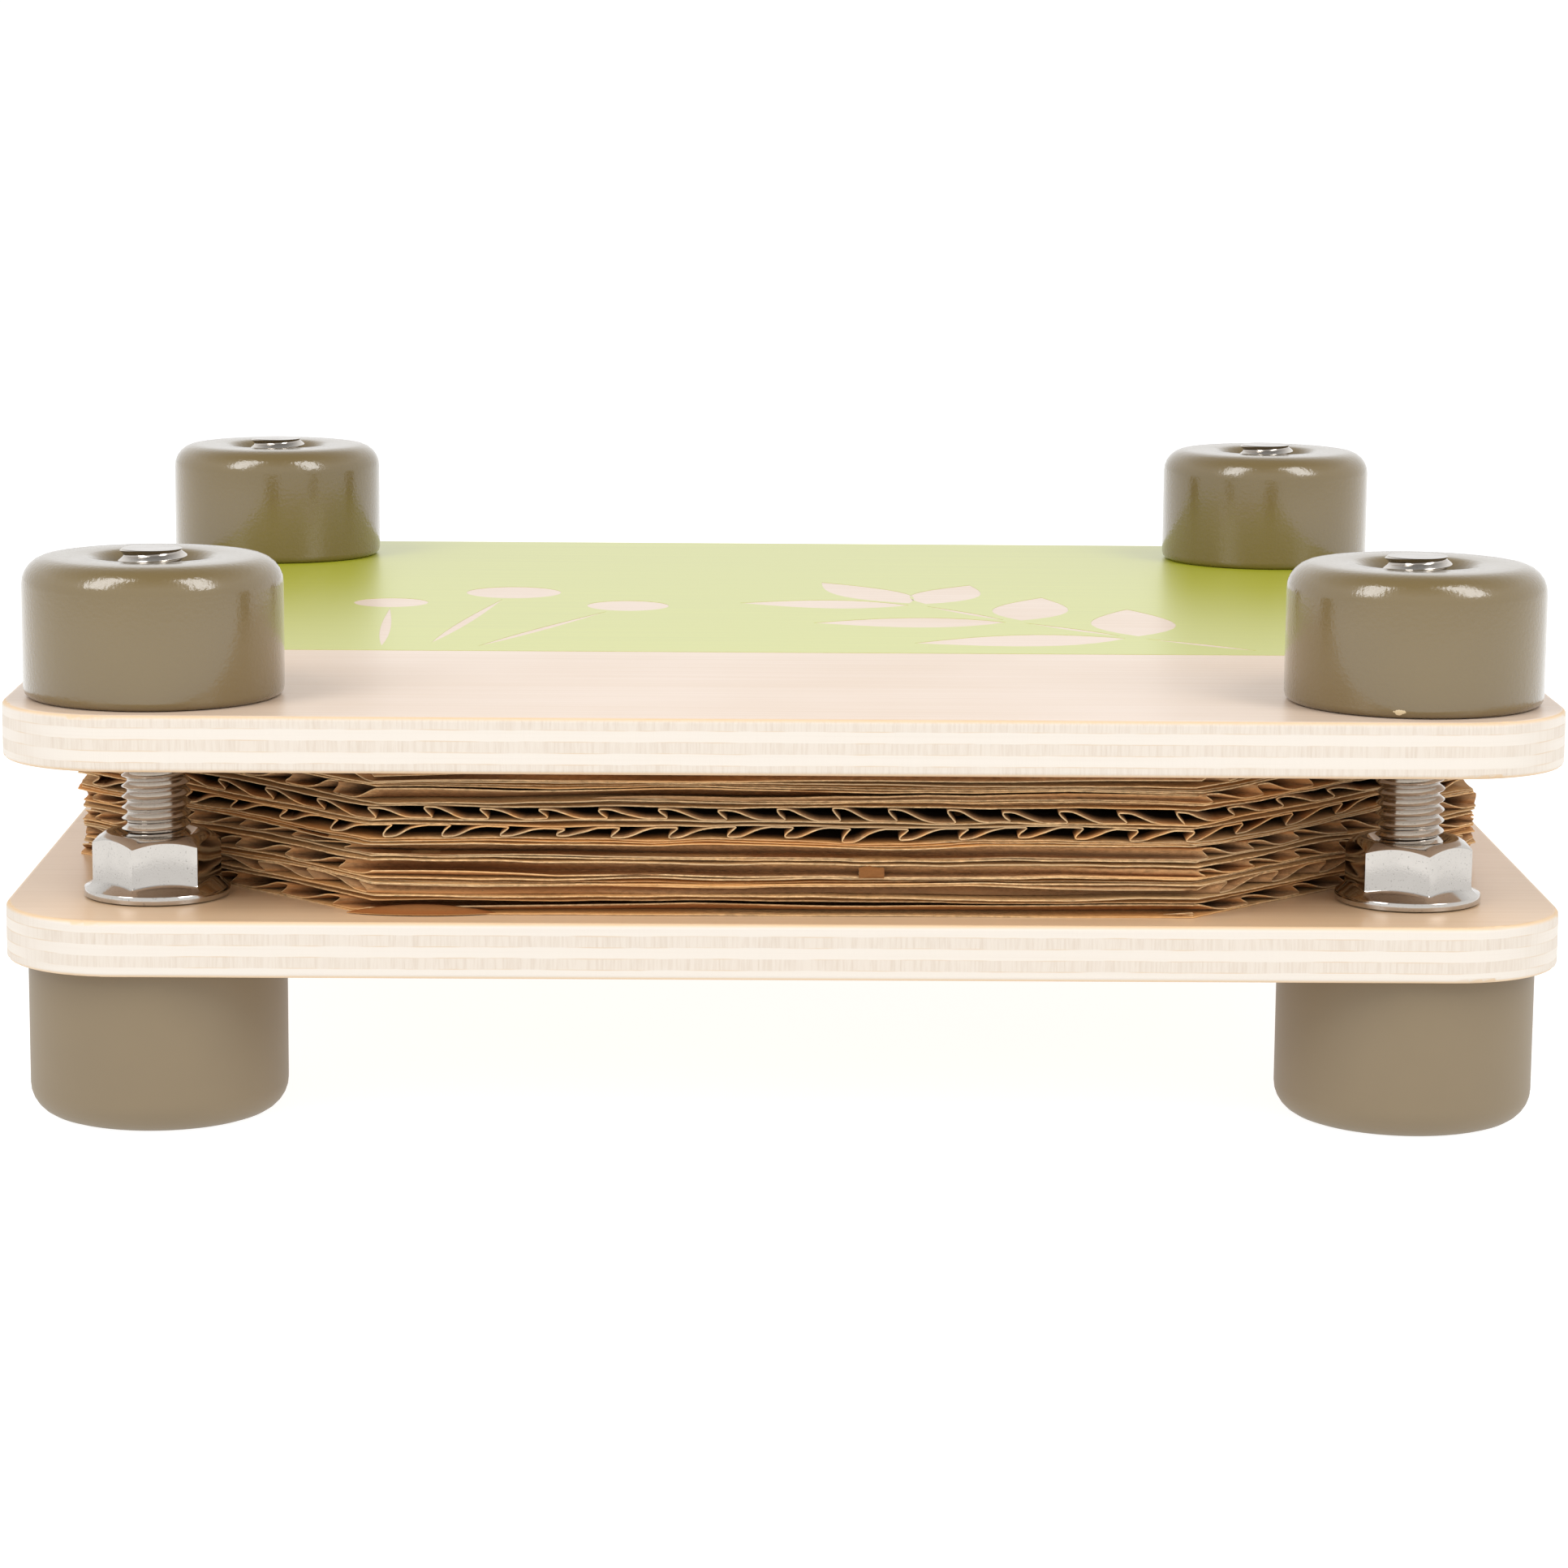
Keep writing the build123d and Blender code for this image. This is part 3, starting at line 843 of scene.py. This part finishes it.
class PRESS_OT_bolts(bpy.types.Operator):
    """Makes the four bolts, with a true right-hand thread"""

    bl_idname = "press.bolts"
    bl_label = "Bolts"

    def execute(self, context):
        settings = context.scene.press_metal
        steel = plated_metal(
            "rolled_stainless_steel", settings.steel, smooth=0.1, rough=0.22, grit=0.25 * MM,
            groove=(3.35 * MM, 3.9 * MM),
        )
        for corner in CORNERS:
            x, y = bolt_axis(corner)
            name = f"bolt_{corner}"
            low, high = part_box(name)
            bm = bmesh.new()
            add_thread(bm, x, y, low.z + THREAD_START * MM, high.z, settings.pitch)
            head = bmesh.new()
            across = high.y - low.y
            raise_hexagon(head, x, y, across, 0.0, head_rings(low.z, across), steps=120)
            close_ends(head)
            spare = new_mesh("head_spare", head)
            bm.from_mesh(spare)
            bpy.data.meshes.remove(spare)
            finish_piece(f"{name}_threaded", bm, [steel], "base", name, sharp_angle=22.0)
        return {"FINISHED"}


def nut_rings(seat, top):
    """The rings of a flange nut: up the flange, in over its cone, up the flats and down into the bore."""

    def at(radius, rise):
        return lambda hexagon: (radius * MM, seat + rise * MM)

    def cone(radius):
        return seat + cone_low + (cone_radius - radius) * cone_slope

    def domed(radius):
        return top - max(0.0, radius - dome_radius) * dome_slope

    cone_low, cone_radius, cone_slope = 1.3 * MM, 8.3 * MM, 0.42
    dome_radius, dome_slope = 5.95 * MM, 0.65
    flange = ((4.05, 2.0), (4.05, 0.5), (4.5, 0.0), (8.1, 0.0), (8.45, 0.2), (8.5, 0.5), (8.5, 0.85))
    flange_top = ((8.4, 1.08), (8.2, 1.2))
    mouth = ((5.9, 7.46), (5.65, 7.5), (4.95, 7.47), (4.15, 6.7), (4.05, 5.5))
    flats = [
        lambda hexagon: (hexagon + 0.35 * MM, cone(hexagon + 0.35 * MM)),
        lambda hexagon: (hexagon + 0.1 * MM, cone(hexagon) + 0.08 * MM),
        lambda hexagon: (hexagon, cone(hexagon) + 0.35 * MM),
        lambda hexagon: (hexagon, domed(hexagon) - 0.14 * MM),
        lambda hexagon: (hexagon - 0.12 * MM, domed(hexagon)),
    ]
    return [at(*ring) for ring in flange + flange_top] + flats + [at(*ring) for ring in mouth]


class PRESS_OT_nuts(bpy.types.Operator):
    """Makes the four flange nuts"""

    bl_idname = "press.nuts"
    bl_label = "Flange nuts"

    def execute(self, context):
        colour = context.scene.press_metal.nickel
        nickel = plated_metal("bright_nickel_plate", colour, smooth=0.07, rough=0.16, grit=0.24 * MM)
        for corner, turn in zip(CORNERS, NUT_TURNS):
            name = f"flange_nut_{corner}"
            low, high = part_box(name)
            bm = bmesh.new()
            rings = nut_rings(low.z, high.z)
            raise_hexagon(bm, *bolt_axis(corner), NUT_ACROSS * MM, radians(turn), rings)
            finish_piece(f"{name}_plated", bm, [nickel], "base", name, sharp_angle=30.0)
        return {"FINISHED"}


class PRESS_OT_inserts(bpy.types.Operator):
    """Gives the threaded inserts in the knobs their brass"""

    bl_idname = "press.inserts"
    bl_label = "Inserts"

    def execute(self, context):
        colour = context.scene.press_metal.brass
        brass = plated_metal("turned_brass", colour, smooth=0.2, rough=0.35, grit=0.3 * MM)
        for corner in CORNERS:
            dress(f"knob_insert_{corner}", brass)
        return {"FINISHED"}


def wander(spot, size, phase):
    """A smooth noise between -1 and 1 that changes over a size in the plane of the sheets."""
    return noise.noise(Vector((spot.x / size, spot.y / size, phase)))


class SheetPack:
    """Cuts the sheets of the pack, each a little out of line, and lets them settle on one another."""

    def __init__(self, settings, seed):
        self.settings = settings
        self.random = random.Random(seed)
        low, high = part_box("card_1")
        self.half_x, self.half_y, self.low, self.high = high.x, high.y, low.z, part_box("card_8")[1].z
        self.cut = SHEET_CUT * MM

    def place(self, amount=1.0):
        """A small shift and turn in the plane of the sheets."""
        shift = Vector((self.random.gauss(0, 0.35), self.random.gauss(0, 0.3), 0)) * MM * amount
        turn = radians(self.random.gauss(0, 0.1)) * amount
        return Matrix.Translation(shift) @ Matrix.Rotation(turn, 4, "Z")

    def outline(self, inset=0.0):
        """The sheets' corners, anticlockwise, for a sheet that is a little smaller all round."""
        x, y = self.half_x - inset, self.half_y - inset
        cut = self.cut - inset * (2 - sqrt(2))
        return [
            (-x, -y + cut), (-x + cut, -y), (x - cut, -y), (x, -y + cut),
            (x, y - cut), (x - cut, y), (-x + cut, y), (-x, y - cut),
        ]

    def inside(self, spot):
        """How far a point lies inside the outline."""
        slant = (self.half_x + self.half_y - self.cut - abs(spot.x) - abs(spot.y)) / sqrt(2)
        return min(self.half_x - abs(spot.x), self.half_y - abs(spot.y), slant)

    def fray(self, verts, amount):
        """Moves the points of a cut edge in or out."""
        phase = self.random.uniform(0, 100)
        for vert in verts:
            coarse = wander(vert.co, 8 * MM, phase)
            fine = wander(vert.co, 0.9 * MM, phase + 5.0)
            out = Vector((vert.co.x, vert.co.y, 0)).normalized()
            vert.co += out * (coarse * 0.8 + fine * 0.45) * amount

    def settle(self, verts):
        """Lets points near the pack's edge rise and fall along with the layers above and below them."""
        loose_rim = 11 * MM
        for vert in verts:
            spot = vert.co
            fade = min(1.0, 1 - self.inside(spot) / loose_rim)
            if fade <= 0:
                continue
            share = (spot.z - self.low) / (self.high - self.low)
            free = sqrt(max(0.0, sin(pi * share)))
            slow = wander(spot, 21 * MM, spot.z / (1.9 * MM))
            quick = wander(spot, 6 * MM, spot.z / (0.9 * MM))
            vert.co.z += fade * free * (slow + quick * 0.3) * self.settings.wave

    def sheet(self, bm, height, place, inset=0.0, face_down=False):
        """Adds a flat sheet with rings of points near its frayed edge."""
        old = set(bm.faces)
        face = bm.faces.new([bm.verts.new((*corner, 0)) for corner in self.outline(inset)])
        spacing = 0.55 * MM
        for edge in list(face.edges):
            bmesh.ops.subdivide_edges(bm, edges=[edge], cuts=int(edge.calc_length() / spacing))
        rim = list(face.verts)
        verts = set(rim)
        for thickness in (1.0 * MM, 2.5 * MM, 7.0 * MM):
            bmesh.ops.inset_region(bm, faces=[face], thickness=thickness, use_even_offset=True)
            verts.update(face.verts)
        for vert in verts:
            vert.co.z = height
        if face_down:
            bmesh.ops.reverse_faces(bm, faces=[new for new in bm.faces if new not in old])
        self.fray(rim, self.settings.fray)
        bmesh.ops.transform(bm, matrix=place, verts=list(verts))
        self.settle(verts)

    def loose_patch(self, bm, x, half_width, foot, head, pointed):
        """Adds a patch of loose liner in front of the pack, between its lower edge and its upper edge, both
        given as depth and height. A pointed patch runs out at both ends. Lengths are in millimetres."""
        phase = self.random.uniform(0, 100)
        for vert in bmesh.ops.create_grid(bm, x_segments=24, y_segments=6, size=1.0)["verts"]:
            along, rise = vert.co.x, (vert.co.y + 1) / 2
            ragged = 1 + 0.2 * noise.noise(Vector((along * 3, rise * 4, phase)))
            width = 1 - along * along if pointed else ragged
            vert.co = Vector((
                x + along * half_width,
                head[0] + (foot[0] - head[0]) * (1 - rise) * width,
                foot[1] + (head[1] - foot[1]) * sin(rise * pi / 2) * width,
            )) * MM

    def wave(self, across):
        """Points of the medium across the flutes, with a height of 0 to 1. Each flute has a flat foot, a
        leaning wall, a flat crest and a long slope back."""
        bends = [
            ((0.0, 0.0), (0.12, 0.0), (0.28, 0.0), (0.36, 0.02), 3),
            ((0.36, 0.02), (0.43, 0.1), (0.26, 0.55), (0.235, 0.82), 4),
            ((0.235, 0.82), (0.225, 0.92), (0.235, 1.0), (0.262, 1.0), 2),
            ((0.262, 1.0), (0.31, 1.0), (0.39, 1.0), (0.45, 0.95), 3),
            ((0.45, 0.95), (0.6, 0.8), (0.8, 0.1), (1.0, 0.0), 6),
        ]
        pitch = self.settings.flute
        spot = -across - pitch * self.random.uniform(1.0, 2.0)
        points = []
        while spot < across + pitch:
            width = pitch * self.random.uniform(0.93, 1.07)
            crest = self.random.uniform(0.85, 1.0)
            for *handles, count in bends:
                corners = [Vector(handle).to_3d() for handle in handles]
                bend = geometry.interpolate_bezier(*corners, count + 1)
                points += [(spot + point.x * width, point.y * crest) for point in bend[:-1]]
            spot += width
        return points

    def fluting(self, bm, low, high, place, open_to_front, flipped):
        """Adds the fluted medium: leaning waves across the sheet, drawn out along the flutes and cut to the
        outline."""
        across, along = (self.half_x, self.half_y) if open_to_front else (self.half_y, self.half_x)
        reach = along + 3 * MM
        if flipped:
            low, high = high, low
        line = [bm.verts.new((spot, -reach, low + rise * (high - low))) for spot, rise in self.wave(across)]
        wires = [bm.edges.new(pair) for pair in zip(line, line[1:])]
        made = bmesh.ops.extrude_edge_only(bm, edges=wires)["geom"]
        bmesh.ops.translate(bm, verts=items_of(made, bmesh.types.BMVert), vec=(0, 2 * reach, 0))
        runs = [edge for edge in bm.edges if abs(edge.verts[0].co.y - edge.verts[1].co.y) > reach]
        cuts, drift = (13, 0.2 * MM) if open_to_front else (33, 1.0 * MM)
        bmesh.ops.subdivide_edges(bm, edges=runs, cuts=cuts)
        slope = 0.3 if open_to_front else self.random.choice((-1, 1)) * self.random.uniform(0.9, 2.2)
        skew = tan(radians(slope))
        phase = self.random.uniform(0, 100)
        for vert in bm.verts:
            bend = noise.noise(Vector((vert.co.y / (24 * MM), phase, 0)))
            vert.co.x += vert.co.y * skew + bend * drift
        quarter = Matrix.Rotation(0 if open_to_front else pi / 2, 4, "Z")
        bmesh.ops.transform(bm, matrix=place @ quarter, verts=bm.verts)
        corners = self.outline()
        for at, corner in enumerate(corners):
            run = Vector(corners[at - 1]) - Vector(corner)
            cut_off(bm, place @ Vector((*corner, 0)), (-run.y, run.x, 0), dist=0.0005 * MM)
        self.fray([vert for vert in bm.verts if vert.is_boundary], self.settings.fray * 0.8)
        self.settle(bm.verts)


def layer_thickness(piece, thickness, inside=0):
    """Gives the sheets of a piece their thickness, with the cut-edge material on the rims and, some
    materials on, the one for the side that faces the flutes."""
    solid = piece.modifiers.new("thickness", "SOLIDIFY")
    solid.thickness = thickness
    solid.offset = 0.0
    solid.use_rim = True
    solid.material_offset = inside
    solid.material_offset_rim = 1


class PRESS_OT_cards(bpy.types.Operator):
    """Makes the corrugated cards: two liners with leaning flutes between them"""

    bl_idname = "press.cards"
    bl_label = "Cards"

    def execute(self, context):
        settings = context.scene.press_pack
        pack = SheetPack(settings, settings.seed)
        cut = kraft("kraft_cut_edge", settings.cut, spread=0.45)
        liner = kraft("kraft_linerboard", settings.liner, spread=0.35)
        # Solidify counts from a face's own material: 1 on for its rim, 4 on for its side to the flutes.
        fluting_slot, inside = 2, 4
        materials = {}
        lit = 0.4 * settings.flute
        # The fluting and the liners' sides to the flutes carry painted shade deep in the flutes.
        for way, flank in (("front", (lit, 0.0)), ("side", (0.0, lit))):
            fluting = kraft(f"kraft_fluting_open_to_{way}", settings.medium, 0.4, flank)
            hidden = kraft(f"kraft_liner_inside_open_to_{way}", settings.liner, 0.4, flank)
            materials[way] = [liner, cut, fluting, cut, hidden, cut, fluting]
        loose = [kraft("kraft_loose_liner", settings.loose, spread=0.12), cut]
        # Middle, half width, lower and upper edge, and whether the ends are pointed.
        patches = {
            "card_1": (-41.5, 8.5, (-86.2, 25.65), (-84.7, 26.6), True),
            "card_3": (9.8, 1.45, (-85.5, 30.1), (-85.2, 31.3), False),
        }
        thickness = LINER_THICKNESS * MM
        for name in CARDS:
            low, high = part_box(name)
            open_to_front = name in CARDS_OPEN_TO_FRONT
            place = pack.place()
            bm = bmesh.new()
            bottom, top = low.z + thickness / 2, high.z - thickness / 2
            flipped = name in CARDS_FLIPPED
            pack.fluting(bm, bottom + thickness, top - thickness, place, open_to_front, flipped)
            for face in bm.faces:
                face.material_index = fluting_slot
            pack.sheet(bm, bottom, place @ pack.place(0.5), face_down=True)
            pack.sheet(bm, top, place @ pack.place(0.5))
            way = "front" if open_to_front else "side"
            piece = finish_piece(
                f"{name}_fluted", bm, materials[way], "base", name, sharp_angle=60.0
            )
            layer_thickness(piece, thickness, inside)
            if name in patches:
                bm = bmesh.new()
                pack.loose_patch(bm, *patches[name])
                layer_thickness(finish_piece(f"{name}_loose_liner", bm, loose, "base"), thickness)
        return {"FINISHED"}


class PRESS_OT_papers(bpy.types.Operator):
    """Makes the paper sheets between the cards"""

    bl_idname = "press.papers"
    bl_label = "Paper sheets"

    def execute(self, context):
        settings = context.scene.press_pack
        pack = SheetPack(settings, settings.seed + 1)
        paper = kraft("kraft_wrapping_paper", settings.paper, spread=0.25)
        edge = kraft("kraft_paper_edge", settings.cut, spread=0.45)
        for name in PAPERS:
            low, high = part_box(name)
            bm = bmesh.new()
            inset = pack.random.choice((0.0, 0.4, 2.2, 3.0)) * MM
            pack.sheet(bm, (low.z + high.z) / 2, pack.place(1.2), inset)
            piece = finish_piece(
                f"{name}_cut", bm, [paper, edge], "base", name, sharp_angle=60.0
            )
            layer_thickness(piece, PAPER_THICKNESS * MM)
        return {"FINISHED"}


def lay_floor():
    """A light table, wide enough to fill the picture."""
    bm = bmesh.new()
    bmesh.ops.create_grid(bm, x_segments=4, y_segments=4, size=FLOOR_HALF_WIDTH)
    mesh = new_mesh("studio_floor", bm)
    mesh.materials.append(light_table("white_acrylic_light_table"))
    floor = new_object("studio_floor", mesh)


def light_room(scene, settings):
    """White walls, with a dimmer ceiling."""
    world = bpy.data.worlds.new("white_studio")
    world.use_nodes = True
    tree = world.node_tree
    height = parts(tree, node(tree, "TexCoord")["Generated"])[2]
    light = ranged(tree, height, 0.48, 0.96, settings.horizon, settings.zenith)
    background = tree.nodes["Background"]
    background.inputs["Color"].default_value = (1, 1, 1, 1)
    tree.links.new(light, background.inputs["Strength"])
    scene.world = world


def hang_soft_box(name, way, power):
    """A tall soft box in front of the press, to its left or right."""
    light = bpy.data.lights.new(name, "AREA")
    light.shape = "RECTANGLE"
    light.size, light.size_y = SOFT_BOX_SIZE
    light.energy = power
    lamp = new_object(name, light)
    x, y, z = SOFT_BOX_PLACE
    lamp.location = (way * x, y, z)
    aim = Vector(SOFT_BOX_AIM) - lamp.location
    lamp.rotation_euler = aim.to_track_quat("-Z", "Y").to_euler()


def set_camera(scene, settings):
    """The camera that was fitted to the photograph."""
    lens = bpy.data.cameras.new("photo_camera")
    lens.sensor_width, lens.lens = 36.0, settings.lens
    lens.clip_start, lens.clip_end = 0.01, 50.0
    camera = new_object("photo_camera", lens)
    turned = Matrix.Identity(3)
    pitch, roll, yaw = settings.turn
    for angle, axis in ((yaw, "Z"), (pitch, "X"), (roll, "Z")):
        turned = turned @ Matrix.Rotation(angle, 3, axis)
    camera.location = settings.eye
    camera.rotation_euler = turned.to_euler()
    scene.camera = camera


class PRESS_OT_stage(bpy.types.Operator):
    """Sets the floor, the light and the camera"""

    bl_idname = "press.stage"
    bl_label = "Stage"

    def execute(self, context):
        settings = context.scene.press_stage
        scene = context.scene
        lay_floor()
        light_room(scene, settings)
        for side, way in (("left", -1), ("right", 1)):
            hang_soft_box(f"soft_box_{side}", way, settings.boxes)
        set_camera(scene, settings)
        scene.view_settings.view_transform = "Standard"
        return {"FINISHED"}


OPERATORS = (
    PRESS_OT_stage, PRESS_OT_boards, PRESS_OT_print, PRESS_OT_knobs, PRESS_OT_feet, PRESS_OT_bolts,
    PRESS_OT_nuts, PRESS_OT_inserts, PRESS_OT_cards, PRESS_OT_papers,
)
SETTINGS = {
    "press_wood": PressWoodSettings,
    "press_print": PressPrintSettings,
    "press_paint": PressPaintSettings,
    "press_metal": PressMetalSettings,
    "press_pack": PressPackSettings,
    "press_stage": PressStageSettings,
}


class PRESS_PT_panel(bpy.types.Panel):
    """Lists the settings and the pieces of the flower press"""

    bl_idname = "PRESS_PT_panel"
    bl_label = "Flower press"
    bl_space_type = "VIEW_3D"
    bl_region_type = "UI"
    bl_category = "Flower press"

    def draw(self, context):
        for operator in OPERATORS:
            self.layout.operator(operator.bl_idname)
        for attribute, group in SETTINGS.items():
            box = self.layout.box()
            box.label(text=group.__doc__)
            for name in group.__annotations__:
                box.prop(getattr(context.scene, attribute), name)


def register():
    """Makes the settings, the operators and the panel known to Blender."""
    for attribute, group in SETTINGS.items():
        bpy.utils.register_class(group)
        setattr(bpy.types.Scene, attribute, bpy.props.PointerProperty(type=group))
    for operator in OPERATORS:
        bpy.utils.register_class(operator)
    bpy.utils.register_class(PRESS_PT_panel)


def unregister():
    """Takes back what register made known."""
    bpy.utils.unregister_class(PRESS_PT_panel)
    for operator in reversed(OPERATORS):
        bpy.utils.unregister_class(operator)
    for attribute, group in SETTINGS.items():
        delattr(bpy.types.Scene, attribute)
        bpy.utils.unregister_class(group)


def main():
    """Builds the stage and the pieces."""
    register()
    for operator in OPERATORS:
        getattr(bpy.ops.press, operator.bl_idname.removeprefix("press."))()


if __name__ == "__main__":
    main()
